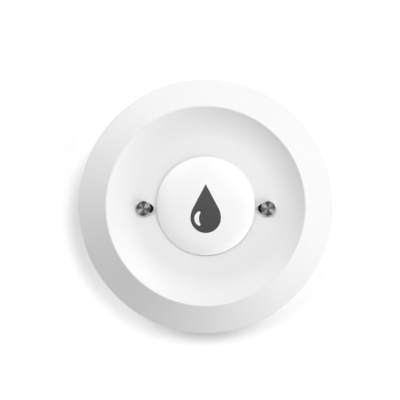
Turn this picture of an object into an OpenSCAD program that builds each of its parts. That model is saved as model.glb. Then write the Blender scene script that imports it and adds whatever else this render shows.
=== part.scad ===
// Round water leak sensor that lies on the floor with its drip dish facing up.
// Millimetres, +Z up, origin on the axis of the case at the level of the floor.

/* [Case] */
// Diameter of the case at its shoulder
case_d = 65; // [63:0.5:76]
// Wall thickness of the cover and of the base's side
wall = 2; // [1.6:0.1:2.4]
// Thickness of the base's floor and of the battery door in it
floor_t = 2; // [1.8:0.1:2.6]
// Height of the base's side wall above its floor
base_wall_h = 2.4; // [2:0.1:3]
// Height of the cover's straight side above the parting line
side_h = 2.9; // [2.4:0.1:4]
// Roundness of the shoulder under the bevel
shoulder_round = 1.2; // [0.6:0.1:2]
// Roundness of the base's bottom edge
bottom_round = 1.5; // [0.8:0.1:2]
// Chamfer on each side of the parting line
seam_chamfer = 0.25; // [0.1:0.05:0.35]

/* [Dish] */
// Depth of the dish from its rim to the trough floor
dish_depth = 2.45; // [2:0.05:3.5]
// Width of the curved part of the dish, from the trough floor to the rim
dish_run = 7.3; // [6.6:0.1:8]
// Thickness of the dish
dish_t = 1.8; // [1.5:0.1:2.2]
// Width of the flat trough floor outside the bushes
trough_margin = 0.1; // [0.05:0.05:0.4]
// Roundness of the rim
rim_round = 0.35; // [0.2:0.05:0.5]

/* [Button] */
// Diameter of the button cap
cap_d = 23.9; // [22:0.1:26]
// Thickness of the cap's domed shell
cap_t = 1.5; // [1.2:0.1:1.8]
// Height of the straight edge of the cap
cap_edge = 0.1; // [0.1:0.05:0.5]
// Radius of the crown of the dome
crown_r = 62; // [40:1:80]
// Radius of the tighter curve round the dome
edge_r = 10; // [8:0.1:14]
// Width of that tighter curve
edge_run = 3.5; // [2.5:0.1:4]
// Distance that the button travels when pressed
button_travel = 0.25; // [0.2:0.05:0.4]
// Depth of the button well below the trough floor
well_depth = 2.45; // [2.2:0.05:3.5]
// Thickness of the well's floor
well_floor_t = 1.4; // [1.2:0.1:2]
// Thickness of the well's wall
well_wall = 1.1; // [0.9:0.1:1.4]
// Diameter of the button's stem
stem_d = 4; // [3.6:0.1:4.6]
// Number of turns in the return spring
spring_turns = 3; // [2:1:4]

/* [Droplet mark] */
// Width of the droplet
drop_w = 7.3; // [5:0.01:8]
// Height of the droplet
drop_h = 11.75; // [10:0.01:12]
// Angle between the droplet's axis and its straight sides
drop_angle = 28; // [26:0.5:32]
// Depth of the inlay
mark_t = 0.4; // [0.3:0.05:0.6]

/* [Probes] */
// Diameter of a probe's head
probe_d = 3.7; // [3:0.1:4]
// Height of a probe above the trough floor
probe_h = 0.8; // [0.8:0.1:1.6]
// Distance of the probes and the droplet in front of the centre line
probe_front = 0.6; // [0:0.1:1]
// Diameter of the threaded shank
shank_d = 2; // [1.6:0.1:2.2]
// Diameter of the rubber bush under the head
bush_d = 2.8; // [2.6:0.1:3]
// Height of the rubber bush under the head
bush_h = 0.3; // [0.3:0.1:0.5]
// Diameter of the bush's round cheek beside the head
cheek_d = 2.2; // [2:0.1:2.6]
// Distance of the cheek's axis from the probe's axis, towards the button
cheek_out = 1.3; // [1.1:0.05:1.4]
// Width of the nut across its flats
nut_af = 4; // [3.6:0.1:4.4]
// Height of the nut
nut_h = 1.6; // [1.2:0.1:2]

/* [Battery] */
// Diameter of the coin cell
cell_d = 20; // [16:0.5:20.5]
// Height of the coin cell
cell_h = 3.2; // [2:0.1:4]
// Number of lugs on the battery door
lug_count = 3; // [3:1:4]
// Length of the coin slot in the door
slot_l = 15; // [10:0.5:17]

/* [Board] */
// Thickness of the circuit board
board_t = 1; // [0.8:0.1:1.6]
// Height of the push switch without its plunger
switch_h = 1.5; // [1.2:0.1:2.5]
// Width of the push switch
switch_w = 5; // [4:0.1:6]
// Height of the plunger above the switch
plunger_rise = 0.6; // [0.6:0.05:0.8]

/* [Feet and screws] */
// Diameter of a rubber foot
foot_d = 7; // [5:0.5:9]
// Height of the feet below the base
foot_proud = 0.8; // [0.6:0.1:2]
// Diameter of a case screw
screw_d = 2.2; // [1.8:0.1:2.6]
// Diameter of a case screw's head
screw_head_d = 4.2; // [3.6:0.1:4.6]
// Height of a case screw's head
screw_head_h = 1.6; // [1.2:0.1:1.8]

/* [Clearances] */
// Gap round parts that slide or turn in one another
slide_gap = 0.2; // [0.1:0.05:0.3]
// Gap round parts that are fitted once
fit_gap = 0.05; // [0.02:0.01:0.1]

/* [Hidden] */
$fn = 64;

// Steps in an arc that shows, and in one that doesn't
arc_steps = 16;
hidden_steps = 6;

// Distance that a cut reaches past what it cuts, and room in front of a screw's end
over = 1;
screw_room = 0.4;

// Battery door, from the cell outwards
cell_r = cell_d / 2;
neck_in_r = cell_r + slide_gap;
neck_t = 0.8;
neck_out_r = neck_in_r + neck_t;
lug_reach = 0.8;
door_r = neck_out_r + lug_reach;
bore_r = door_r + slide_gap;
collar_t = 0.7;
collar_r = bore_r + collar_t;
catch_root = 0.3;
collar_in_r = bore_r + catch_root;
catch_in_r = neck_out_r + slide_gap;
lug_h = 0.7;
lug_pitch = 360 / lug_count;
lug_angles = [0 : lug_pitch : 359];
catch_angle = lug_pitch / 2 - 10;
lug_angle = catch_angle - 6;
stop_angle = 2;
stop_play = 0.5;
stop_middle = lug_angle / 2 + stop_play + stop_angle / 2;
catch_h = 0.8;
catch_gap = 0.1;
door_seal_d = bore_r - door_r + lug_reach - 2 * fit_gap;
door_groove_r = door_r - lug_reach;
door_groove_h = door_seal_d + 0.05;
slot_w = 2;
slot_depth = 0.8;

// Button, from the cap's edge inwards
cap_r = cap_d / 2;
brim_w = 0.7;
skirt_r = cap_r - brim_w;
skirt_t = 1;
skirt_h = 1.8;
well_r = skirt_r + slide_gap;
well_out_r = well_r + well_wall;
well_edge = 0.3;
stem_r = stem_d / 2;
guide_gap = fit_gap;
guide_bore_r = stem_r + guide_gap;
guide_t = 1.15;
guide_r = guide_bore_r + guide_t;
guide_rise = 1.45;
groove_depth = 0.6;
stem_groove_r = stem_r - groove_depth;
clip_proud = 1;
clip_r = stem_r + clip_proud;
clip_t = 0.4;
clip_play = 0.05;
stem_tail = 0.3;
stem_root = 0.2;
clip_angle = 300;
stem_seal_d = guide_bore_r - stem_groove_r - fit_gap / 2;

// Probes stand outside both the button well and the battery door's collar
shank_r = shank_d / 2;
head_r = probe_d / 2;
grommet_t = 0.8;
grommet_r = shank_r + grommet_t;
grommet_lip = 0.1;
grommet_flange = 0.3;
nut_gap = 0.53;
probe_x = max(well_out_r + nut_af / 2 + nut_gap, collar_r + grommet_r + nut_gap);
probe_tip = 0.4;
probe_chamfer = 0.1;
tip_chamfer = 0.4;

// Heights, from the floor upwards
base_z = foot_proud;
floor_z = base_z + floor_t;
split_z = floor_z + base_wall_h;
shoulder_z = split_z + side_h;
contact_room = 0.8;
cell_top = floor_z + cell_h;
board_z = cell_top + contact_room;
board_top = board_z + board_t;
switch_top = board_top + switch_h;
stem_z = switch_top + plunger_rise;
clip_z = stem_z + stem_tail;
well_z = clip_z + clip_t + clip_play;
well_top = well_z + well_floor_t;
trough_z = well_top + well_depth;
rim_z = trough_z + dish_depth;
head_z = trough_z + bush_h;
probe_top = trough_z + probe_h;
cheek_lift = 0.1;
cheek_z = trough_z + cheek_lift;
cheek_rise = 0.1;
cheek_top = probe_top + cheek_rise;
press_clear = 0.05;
cap_z = trough_z + button_travel + press_clear;
skirt_z = cap_z - skirt_h;
guide_top = well_top + guide_rise;
stem_seal_z = (well_z + guide_top) / 2 + button_travel / 2;
catch_z = floor_z + catch_gap;
lug_z = catch_z + catch_h + fit_gap;
stop_z = catch_z + catch_h / 2;
stop_h = lug_z + lug_h - stop_z;
collar_top = lug_z + lug_h + catch_gap;
holder_gap = 0.3;
holder_z = lug_z + lug_h + holder_gap;

// Dish and bevel
case_r = case_d / 2;
inner_r = case_r - wall;
trough_r = probe_x + bush_d / 2 + trough_margin;
rim_r = trough_r + dish_run;
rim_tilt = 2 * atan(dish_depth / dish_run);
dish_curve = dish_run / sin(rim_tilt);
dish_center = [trough_r, trough_z + dish_curve];
bevel_w = case_r - rim_r;
bevel_h = rim_z - shoulder_z;
bevel_angle = atan2(bevel_h, bevel_w);
// Level of the bevel's inner face along the bevel's own normal
bevel_inner = sin(bevel_angle) * rim_r + cos(bevel_angle) * rim_z - wall;
bevel_normal_center = sin(bevel_angle) * dish_center[0] + cos(bevel_angle) * dish_center[1];
under_curve = dish_curve + dish_t;
under_tilt = acos((bevel_normal_center - bevel_inner) / under_curve) - bevel_angle;
inner_shoulder_z = (bevel_inner - sin(bevel_angle) * inner_r) / cos(bevel_angle);

// Dome of the cap
crown_reach = cap_r - edge_run;
crown_tilt = asin(crown_reach / crown_r);
edge_center_r = crown_reach - edge_r * sin(crown_tilt);
edge_tilt = asin((cap_r - edge_center_r) / edge_r);
dome_h = crown_r * (1 - cos(crown_tilt)) + edge_r * (cos(crown_tilt) - cos(edge_tilt));
cap_top = cap_z + cap_edge + dome_h;
crown_center_z = cap_top - crown_r;
edge_center_z = crown_center_z + (crown_r - edge_r) * cos(crown_tilt);
ceiling_r = skirt_r - skirt_t;
ceiling_tilt = asin((ceiling_r - edge_center_r) / (edge_r - cap_t));

// Return spring round the guide
wire_r = 0.17;
spring_gap = 0.15;
spring_r = guide_r + 2 * wire_r + spring_gap;
spring_roof_r = spring_r + wire_r;
spring_roof = crown_center_z + sqrt(pow(crown_r - cap_t, 2) - pow(spring_roof_r, 2));
spring_low = well_top + wire_r + fit_gap;
spring_high = spring_roof - wire_r - fit_gap;
spring_sides = 6;
spring_rings = 8;
spring_count = spring_turns * spring_rings;

// Droplet
drop_r = drop_w / 2;
drop_reach = drop_h - drop_r;
drop_side_r = (drop_reach * sin(drop_angle) - drop_r * cos(drop_angle)) / (1 - cos(drop_angle));
drop_y = -probe_front - drop_h / 2 + drop_r;
// Crescent in the droplet: one circle less a larger one, with rounded tips
shine_x = -0.234 * drop_r;
shine_y = -0.045 * drop_r;
shine_r = 0.517 * drop_r;
shine_cut_x = 0.348 * drop_r;
shine_cut_r = 0.792 * drop_r;
shine_tip_r = 0.076 * drop_r;
shine_apart = shine_cut_x - shine_x;
tip_circle_r = shine_r - shine_tip_r;
tip_cut_r = shine_cut_r + shine_tip_r;
tip_x = (pow(shine_apart, 2) + pow(tip_circle_r, 2) - pow(tip_cut_r, 2)) / (2 * shine_apart);
tip_y = sqrt(pow(tip_circle_r, 2) - pow(tip_x, 2));

// Screws and bosses, gasket, feet, board and its posts
screw_angles = [45 : 90 : 315];
foot_angles = [0, 90, 180, 270];
screw_boss_r = 2.8;
screw_seat_t = 0.9;
screw_seat_r = screw_head_d / 2 + screw_seat_t;
boss_gap = 1.1;
screw_ring_r = inner_r - screw_boss_r - boss_gap;
screw_recess = 0.2;
screw_seat_z = base_z + screw_recess + screw_head_h;
boss_skin = 0.6;
boss_top = shoulder_z + (case_r - screw_ring_r - screw_boss_r) * bevel_h / bevel_w - boss_skin;
boss_roof = 1.5;
screw_end = boss_top - boss_roof;
cross_w = 0.6;
cross_l = 0.6 * screw_head_d;
cross_depth = 0.8;
gasket_w = 0.9;
gasket_edge = 0.35;
gasket_out_r = case_r - seam_chamfer - gasket_edge;
gasket_in_r = gasket_out_r - gasket_w;
gasket_wall = 1;
base_inner_r = gasket_in_r - gasket_wall;
foot_r = foot_d / 2;
foot_sink = 0.6;
foot_margin = 0.5;
foot_ring_r = case_r - bottom_round - foot_r - foot_margin;
foot_chamfer = 0.3;
board_gap = 0.4;
board_r = screw_ring_r - screw_boss_r - board_gap;
post_r = 2.2;
post_margin = 0.7;
post_ring_r = board_r - post_r - post_margin;
board_screw_r = 0.8;
board_screw_l = 3;
board_screw_head_r = 1.5;
board_screw_head_h = 1;

// Board parts
holder_wall = 1.2;
holder_in_r = cell_r + slide_gap;
holder_out_r = holder_in_r + holder_wall;
contact_t = 0.25;
clip_w = 4;
spring_leaf_w = 3;
spring_leaf_l = 0.6 * cell_d;
leaf_foot = 1;
clip_foot = 2;
plunger_r = 1.2;
plunger_sink = 0.4;
plunger_h = plunger_rise + plunger_sink;
eyelet_w = 1.2;
eyelet_r = shank_r + eyelet_w;
eyelet_h = 0.3;
module_size = [13, 8.6, 0.8];
module_margin = 1.6;
module_y = board_r - module_size[1] / 2 - module_margin;
shield_size = [10, 5.6, 1.5];
shield_t = 0.25;
shield_back = 1;
shield_y = module_y - shield_back;
antenna_size = [5, 1.4, 0.8];
antenna_y = module_y + module_size[1] / 2 - antenna_size[1];
lamp_size = [1.6, 1.6, 0.6];
lamp_gap = 2.5;
lamp_y = -(switch_w / 2 + lamp_gap);
chip_size = [5, 4, 1.5];
chip_margin = 6;
chip_y = -board_r + chip_margin;
small_size = [1.6, 0.8, 0.6];
small_margin = 5;
small_ring_r = board_r - small_margin;
small_angles = [-70, -62, -118, -110, 20, 30, 150, 160];

function arc(center, r, from, to, steps) =
    [for (i = [0 : steps]) let (a = from + (to - from) * i / steps)
        [center[0] + r * cos(a), center[1] + r * sin(a)]];

// Points of the rounded shoulder, from the side wall to the bevel
function shoulder_points() =
    let (q = shoulder_round)
    let (z = shoulder_z - q * (1 - sin(bevel_angle)) / cos(bevel_angle))
    arc([case_r - q, z], q, 0, 90 - bevel_angle, hidden_steps);

// Points of the rounded rim, from the bevel to the dish
function rim_points() =
    let (turn = sin(bevel_angle + rim_tilt))
    let (x = rim_round * (cos(bevel_angle) - cos(rim_tilt)) / turn)
    let (z = rim_round * (sin(bevel_angle) + sin(rim_tilt)) / turn)
    arc([rim_r + x, rim_z - z], rim_round, 90 - bevel_angle, 90 + rim_tilt, hidden_steps);

// Points of the dish, from just inside the rim down to the trough floor
function dish_points() =
    let (cut = rim_round * tan((bevel_angle + rim_tilt) / 2) / dish_curve * 180 / PI)
    arc(dish_center, dish_curve, rim_tilt - 1.2 * cut - 90, -90, arc_steps);

// Points of the dome, from the axis out to the edge, shell_t below its surface
function dome_points(shell_t, last_tilt) = concat(
    arc([0, crown_center_z], crown_r - shell_t, 90, 90 - crown_tilt, arc_steps),
    arc([edge_center_r, edge_center_z], edge_r - shell_t, 90 - crown_tilt, 90 - last_tilt, arc_steps)
);

// Points of the crescent, about the centre of its outer circle
function shine_points() =
    let (out_turn = atan2(tip_y, tip_x))
    let (in_turn = atan2(tip_y, shine_apart - tip_x))
    concat(
        arc([tip_x, tip_y], shine_tip_r, -in_turn, out_turn, hidden_steps),
        arc([0, 0], shine_r, out_turn, 360 - out_turn, arc_steps),
        arc([tip_x, -tip_y], shine_tip_r, -out_turn, in_turn, hidden_steps),
        arc([shine_apart, 0], shine_cut_r, 180 + in_turn, 180 - in_turn, arc_steps)
    );

function reversed(points) = [for (i = [len(points) - 1 : -1 : 0]) points[i]];

// One ring of the spring's wire
function spring_ring(i) =
    let (a = 360 * i / spring_rings)
    let (z = spring_low + (spring_high - spring_low) * i / spring_count)
    [for (j = [0 : spring_sides - 1]) let (b = 360 * j / spring_sides)
        [(spring_r + wire_r * cos(b)) * cos(a), (spring_r + wire_r * cos(b)) * sin(a), z + wire_r * sin(b)]];

module ring(out_r, in_r, z, h) {
    translate([0, 0, z])
    difference() {
        cylinder(r = out_r, h = h);
        translate([0, 0, -over]) cylinder(r = in_r, h = h + 2 * over);
    }
}

// Part of a ring, centred on an angle
module ring_part(out_r, in_r, z, h, middle, angle) {
    rotate([0, 0, middle - angle / 2])
    rotate_extrude(angle = angle)
    translate([in_r, z]) square([out_r - in_r, h]);
}

module seal_ring(center_r, section_d, z) {
    rotate_extrude()
    translate([center_r, z]) circle(d = section_d);
}

module block(size, x, y, z) {
    translate([x - size[0] / 2, y - size[1] / 2, z]) cube(size);
}

module at_angles(angles, r) {
    for (a = angles) {
        rotate([0, 0, a]) translate([r, 0, 0]) children();
    }
}

module at_probe(side) {
    translate([side * probe_x, -probe_front, 0]) children();
}

module at_probes() {
    for (side = [-1, 1]) {
        at_probe(side) children();
    }
}

module top_cover() {
    color("white")
    difference() {
        union() {
            rotate_extrude() polygon(concat(
                [[case_r - seam_chamfer, split_z], [case_r, split_z + seam_chamfer]],
                shoulder_points(),
                rim_points(),
                dish_points(),
                [
                    [well_r + well_edge, trough_z], [well_r, trough_z - well_edge],
                    [well_r, well_top], [guide_r, well_top],
                    [guide_r, guide_top], [guide_bore_r, guide_top],
                    [guide_bore_r, well_z], [well_out_r, well_z],
                    [well_out_r, trough_z - dish_t]
                ],
                arc(dish_center, under_curve, -90, under_tilt - 90, hidden_steps),
                [[inner_r, inner_shoulder_z], [inner_r, split_z]]
            ));
            at_angles(screw_angles, screw_ring_r)
            translate([0, 0, split_z]) cylinder(r = screw_boss_r, h = boss_top - split_z);
        }
        at_angles(screw_angles, screw_ring_r)
        translate([0, 0, split_z - over])
        cylinder(d = screw_d + 2 * fit_gap, h = screw_end + screw_room + over - split_z);
        at_probes() cylinder(r = shank_r + fit_gap, h = trough_z + over);
    }
}

module base_cover() {
    color("whitesmoke")
    difference() {
        union() {
            rotate_extrude() polygon(concat(
                [[bore_r, base_z]],
                arc([case_r - bottom_round, base_z + bottom_round], bottom_round, -90, 0, hidden_steps),
                [
                    [case_r, split_z - seam_chamfer], [case_r - seam_chamfer, split_z],
                    [gasket_out_r, split_z], [gasket_out_r, split_z - gasket_w],
                    [gasket_in_r, split_z - gasket_w], [gasket_in_r, split_z],
                    [base_inner_r, split_z], [base_inner_r, floor_z],
                    [collar_r, floor_z], [collar_r, collar_top], [bore_r, collar_top]
                ]
            ));
            for (a = lug_angles) {
                ring_part(collar_in_r, catch_in_r, catch_z, catch_h, a, catch_angle);
                ring_part(collar_in_r, catch_in_r, stop_z, stop_h, a + stop_middle, stop_angle);
            }
            at_angles(screw_angles, screw_ring_r)
            translate([0, 0, base_z]) cylinder(r = screw_seat_r, h = split_z - base_z);
            at_angles(screw_angles, post_ring_r)
            translate([0, 0, base_z]) cylinder(r = post_r, h = board_z - base_z);
        }
        at_angles(screw_angles, screw_ring_r) {
            cylinder(d = screw_head_d + 2 * slide_gap, h = screw_seat_z);
            cylinder(d = screw_d + 2 * fit_gap, h = split_z + over);
        }
        at_angles(screw_angles, post_ring_r)
        translate([0, 0, board_top - board_screw_l - screw_room])
        cylinder(r = board_screw_r + fit_gap, h = board_screw_l + over);
        at_angles(foot_angles, foot_ring_r)
        cylinder(r = foot_r + fit_gap, h = base_z + foot_sink);
        at_probes() cylinder(r = grommet_r + fit_gap, h = floor_z + over);
    }
}

module case_gasket() {
    color("dimgray")
    ring(gasket_out_r - fit_gap, gasket_in_r + fit_gap, split_z - gasket_w, gasket_w);
}

module case_screws() {
    color("silver")
    at_angles(screw_angles, screw_ring_r)
    difference() {
        union() {
            translate([0, 0, screw_seat_z - screw_head_h]) cylinder(d = screw_head_d, h = screw_head_h);
            translate([0, 0, screw_seat_z]) cylinder(d = screw_d, h = screw_end - screw_seat_z);
        }
        for (size = [[cross_l, cross_w, cross_depth], [cross_w, cross_l, cross_depth]]) {
            block(size, 0, 0, screw_seat_z - screw_head_h);
        }
    }
}

module foot(angle) {
    color("dimgray")
    rotate([0, 0, angle])
    translate([foot_ring_r, 0, 0]) {
        cylinder(r1 = foot_r - foot_chamfer, r2 = foot_r, h = foot_chamfer);
        translate([0, 0, foot_chamfer]) cylinder(r = foot_r, h = base_z + foot_sink - foot_chamfer);
    }
}

// Turned stud: head above the trough, shank through the board, tip under the base
module probe(side) {
    color("silver")
    at_probe(side)
    rotate_extrude() polygon([
        [0, probe_tip], [shank_r - tip_chamfer, probe_tip], [shank_r, probe_tip + tip_chamfer],
        [shank_r, head_z], [head_r, head_z],
        [head_r, probe_top - probe_chamfer], [head_r - probe_chamfer, probe_top], [0, probe_top]
    ]);
}

// Sealing washer under the head, with a round cheek that stops it from turning with the stud
module bush(side) {
    color("black")
    difference() {
        union() {
            at_probe(side) translate([0, 0, trough_z]) cylinder(d = bush_d, h = bush_h + over);
            at_probe(side) translate([-side * cheek_out, 0, cheek_z])
            cylinder(d = cheek_d, h = cheek_top - cheek_z);
        }
        at_probe(side) cylinder(r = shank_r + fit_gap, h = head_z + over);
        at_probe(side) translate([0, 0, head_z]) cylinder(r = head_r + fit_gap, h = probe_h + over);
    }
}

module probe_nuts() {
    color("goldenrod")
    at_probes()
    difference() {
        translate([0, 0, trough_z - dish_t - nut_h])
        rotate([0, 0, 30]) cylinder(d = nut_af / cos(30), h = nut_h, $fn = 6);
        cylinder(r = shank_r + fit_gap, h = trough_z);
    }
}

module grommet(side) {
    color("black")
    at_probe(side)
    difference() {
        union() {
            translate([0, 0, base_z]) cylinder(r = grommet_r, h = floor_t);
            translate([0, 0, floor_z]) cylinder(r = grommet_r + grommet_lip, h = grommet_flange);
        }
        cylinder(r = shank_r + fit_gap, h = floor_z + over);
    }
}

module eyelet(side) {
    color("goldenrod")
    at_probe(side) ring(eyelet_r, shank_r + fit_gap, board_top, eyelet_h);
}

module circuit_board() {
    color("seagreen")
    difference() {
        translate([0, 0, board_z]) cylinder(r = board_r, h = board_t);
        at_probes() cylinder(r = shank_r + slide_gap, h = board_top + over);
        at_angles(screw_angles, post_ring_r) cylinder(r = board_screw_r + fit_gap, h = board_top + over);
    }
}

module board_screws() {
    color("silver")
    at_angles(screw_angles, post_ring_r) {
        translate([0, 0, board_top]) cylinder(r = board_screw_head_r, h = board_screw_head_h);
        translate([0, 0, board_top - board_screw_l]) cylinder(r = board_screw_r, h = board_screw_l);
    }
}

module switch_body() {
    color("dimgray")
    difference() {
        block([switch_w, switch_w, switch_h], 0, 0, board_top);
        translate([0, 0, stem_z - plunger_h - button_travel - press_clear])
        cylinder(r = plunger_r + fit_gap, h = switch_h + over);
    }
}

module switch_plunger() {
    color("black")
    translate([0, 0, stem_z - plunger_h]) cylinder(r = plunger_r, h = plunger_h);
}

module status_lamp() {
    color("lightyellow") block(lamp_size, 0, lamp_y, board_top);
}

module radio_module() {
    color("darkgreen") block(module_size, 0, module_y, board_top);
}

// Thin can, open towards the module
module radio_shield() {
    z = board_top + module_size[2];
    color("silver")
    difference() {
        block(shield_size, 0, shield_y, z);
        block(shield_size - [2, 2, 1] * shield_t, 0, shield_y, z);
    }
}

module chip_antenna() {
    color("white") block(antenna_size, 0, antenna_y, board_top + module_size[2]);
}

module sensing_chip() {
    color("black") block(chip_size, 0, chip_y, board_top);
}

module board_parts() {
    color("tan")
    at_angles(small_angles, small_ring_r) block(small_size, 0, 0, board_top);
}

module battery_holder() {
    color("black")
    difference() {
        ring(holder_out_r, holder_in_r, holder_z, board_z - holder_z);
        translate([-clip_w / 2 - fit_gap, 0, holder_z - over])
        cube([clip_w + 2 * fit_gap, cell_d, board_z - holder_z + 2 * over]);
    }
}

module coin_cell() {
    cap_step = 0.3;
    cap_rim = 1.1;
    color("lightgray") {
        translate([0, 0, floor_z]) cylinder(r = cell_r, h = cell_h - cap_step);
        translate([0, 0, floor_z]) cylinder(r = cell_r - cap_rim, h = cell_h);
    }
}

// Bent strip that bears on the side of the cell and is soldered under the board
module positive_clip() {
    color("goldenrod") {
        translate([-clip_w / 2, cell_r + fit_gap, holder_z]) cube([clip_w, contact_t, board_z - holder_z]);
        translate([-clip_w / 2, cell_r + fit_gap, board_z - contact_t]) cube([clip_w, clip_foot, contact_t]);
    }
}

// Leaf on top of the cell with one end soldered under the board
module negative_spring() {
    color("goldenrod") {
        block([spring_leaf_l, spring_leaf_w, contact_t], 0, 0, cell_top);
        block([leaf_foot, spring_leaf_w, contact_room], (leaf_foot - spring_leaf_l) / 2, 0, cell_top);
    }
}

module droplet_outline() {
    side = arc([drop_r - drop_side_r, 0], drop_side_r, 0, drop_angle, arc_steps);
    half = concat(arc([0, 0], drop_r, -90, 0, arc_steps), side);
    mirrored = [for (p = reversed(half)) [-p[0], p[1]]];
    translate([0, drop_y])
    difference() {
        polygon(concat(half, [[0, drop_reach]], mirrored));
        translate([shine_x, shine_y]) polygon(shine_points());
    }
}

// Everything under the dome's surface, shell_t below it
module dome_solid(shell_t) {
    rotate_extrude() polygon(concat(
        dome_points(shell_t, crown_tilt),
        [[crown_reach, cap_z - shell_t], [0, cap_z - shell_t]]
    ));
}

// The droplet's prism above the floor of its pocket
module mark_prism() {
    difference() {
        translate([0, 0, cap_z]) linear_extrude(height = cap_top - cap_z + over) droplet_outline();
        dome_solid(mark_t);
    }
}

module button_cap() {
    color("white")
    difference() {
        rotate_extrude() polygon(concat(
            dome_points(0, edge_tilt),
            [[cap_r, cap_z], [skirt_r, cap_z], [skirt_r, skirt_z], [ceiling_r, skirt_z]],
            reversed([for (p = dome_points(cap_t, ceiling_tilt)) if (p[0] > stem_r + stem_root) p]),
            [
                [stem_r, crown_center_z + crown_r - cap_t - stem_root],
                [stem_r, stem_seal_z + stem_seal_d / 2 + fit_gap],
                [stem_groove_r, stem_seal_z + stem_seal_d / 2 + fit_gap],
                [stem_groove_r, stem_seal_z - stem_seal_d / 2 - fit_gap],
                [stem_r, stem_seal_z - stem_seal_d / 2 - fit_gap],
                [stem_r, clip_z + clip_t], [stem_groove_r, clip_z + clip_t],
                [stem_groove_r, clip_z], [stem_r, clip_z],
                [stem_r, stem_z], [0, stem_z]
            ]
        ));
        mark_prism();
    }
}

module droplet_mark() {
    color("dimgray")
    intersection() {
        dome_solid(0);
        mark_prism();
    }
}

module button_spring() {
    points = [for (i = [0 : spring_count]) each spring_ring(i)];
    sides = [for (i = [0 : spring_count - 1], j = [0 : spring_sides - 1])
        let (a = i * spring_sides + j, b = i * spring_sides + (j + 1) % spring_sides)
        each [[a, a + spring_sides, b], [b, a + spring_sides, b + spring_sides]]];
    first = [for (j = [1 : spring_sides - 2]) [0, j, j + 1]];
    last = spring_count * spring_sides;
    end = [for (j = [1 : spring_sides - 2]) [last, last + j + 1, last + j]];
    gaps = [for (a = spring_ring(0), b = spring_ring(spring_rings)) norm(a - b)];
    echo(least_spring_gap = min(gaps));
    color("lightsteelblue") polyhedron(points, concat(sides, first, end));
}

module stem_seal() {
    color("black") seal_ring(stem_groove_r + stem_seal_d / 2 + fit_gap / 4, stem_seal_d, stem_seal_z);
}

module stem_clip() {
    color("silver") ring_part(clip_r, stem_groove_r + fit_gap, clip_z, clip_t, 90, clip_angle);
}

module battery_door() {
    seal_low = base_z + (floor_t - door_groove_h) / 2;
    seal_high = seal_low + door_groove_h;
    edge = 0.3;
    color("whitesmoke")
    difference() {
        union() {
            rotate_extrude() polygon([
                [0, base_z], [door_r - edge, base_z], [door_r, base_z + edge],
                [door_r, seal_low], [door_groove_r, seal_low],
                [door_groove_r, seal_high], [door_r, seal_high],
                [door_r, floor_z], [neck_out_r, floor_z], [neck_out_r, lug_z + lug_h],
                [neck_in_r, lug_z + lug_h], [neck_in_r, floor_z], [0, floor_z]
            ]);
            for (a = lug_angles) {
                ring_part(door_r, neck_in_r + slide_gap, lug_z, lug_h, a, lug_angle);
            }
        }
        block([slot_l, slot_w, slot_depth], 0, 0, base_z);
    }
}

module door_seal() {
    color("black")
    seal_ring(door_groove_r + fit_gap + door_seal_d / 2, door_seal_d, base_z + floor_t / 2);
}

top_cover();
base_cover();
case_gasket();
case_screws();
foot(foot_angles[0]);  // foot_right
foot(foot_angles[1]);  // foot_back
foot(foot_angles[2]);  // foot_left
foot(foot_angles[3]);  // foot_front
probe(-1);  // left_probe
probe(1);  // right_probe
bush(-1);  // left_bush
bush(1);  // right_bush
probe_nuts();
grommet(-1);  // left_grommet
grommet(1);  // right_grommet
eyelet(-1);  // left_eyelet
eyelet(1);  // right_eyelet
circuit_board();
board_screws();
switch_body();
switch_plunger();
status_lamp();
radio_module();
radio_shield();
chip_antenna();
sensing_chip();
board_parts();
battery_holder();
coin_cell();
positive_clip();
negative_spring();
button_cap();
droplet_mark();
button_spring();
stem_seal();
stem_clip();
battery_door();
door_seal();
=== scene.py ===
import math

import bmesh
import bpy
from mathutils import Matrix, Vector


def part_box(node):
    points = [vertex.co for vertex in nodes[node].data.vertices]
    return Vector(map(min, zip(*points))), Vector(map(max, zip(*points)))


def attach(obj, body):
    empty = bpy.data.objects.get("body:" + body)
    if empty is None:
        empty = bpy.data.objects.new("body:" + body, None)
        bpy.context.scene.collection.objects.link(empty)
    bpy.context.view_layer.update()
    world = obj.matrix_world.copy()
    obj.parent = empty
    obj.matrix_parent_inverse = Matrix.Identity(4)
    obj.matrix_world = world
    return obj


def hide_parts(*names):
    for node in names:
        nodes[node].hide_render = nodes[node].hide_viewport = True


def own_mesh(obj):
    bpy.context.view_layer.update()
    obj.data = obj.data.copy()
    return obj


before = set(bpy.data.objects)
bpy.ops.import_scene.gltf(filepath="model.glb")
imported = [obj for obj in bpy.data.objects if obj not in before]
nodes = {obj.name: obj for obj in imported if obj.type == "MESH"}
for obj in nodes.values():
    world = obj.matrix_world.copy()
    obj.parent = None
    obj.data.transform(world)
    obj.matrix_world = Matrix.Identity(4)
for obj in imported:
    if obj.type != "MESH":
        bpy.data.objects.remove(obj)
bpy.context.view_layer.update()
mm = 0.001
scene = bpy.context.scene
scene.view_settings.view_transform = "Standard"
print("frame loaded:", len(nodes), "CAD nodes")


# camera straight above the dish, image up is +Y
cameraSetup = {"height": 144.2, "lens": 48.0, "sensor": 36.0, "shiftX": -0.0143, "shiftY": 0.0151}

lensData = bpy.data.cameras.new("topCamera")
lensData.lens = cameraSetup["lens"]
lensData.sensor_width = cameraSetup["sensor"]
lensData.shift_x = cameraSetup["shiftX"]
lensData.shift_y = cameraSetup["shiftY"]
lensData.clip_start = 0.001
lensData.clip_end = 50.0
topCamera = bpy.data.objects.new("topCamera", lensData)
topCamera.location = (0.0, 0.0, cameraSetup["height"] * mm)
scene.collection.objects.link(topCamera)
scene.camera = topCamera
print("camera set")


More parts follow.
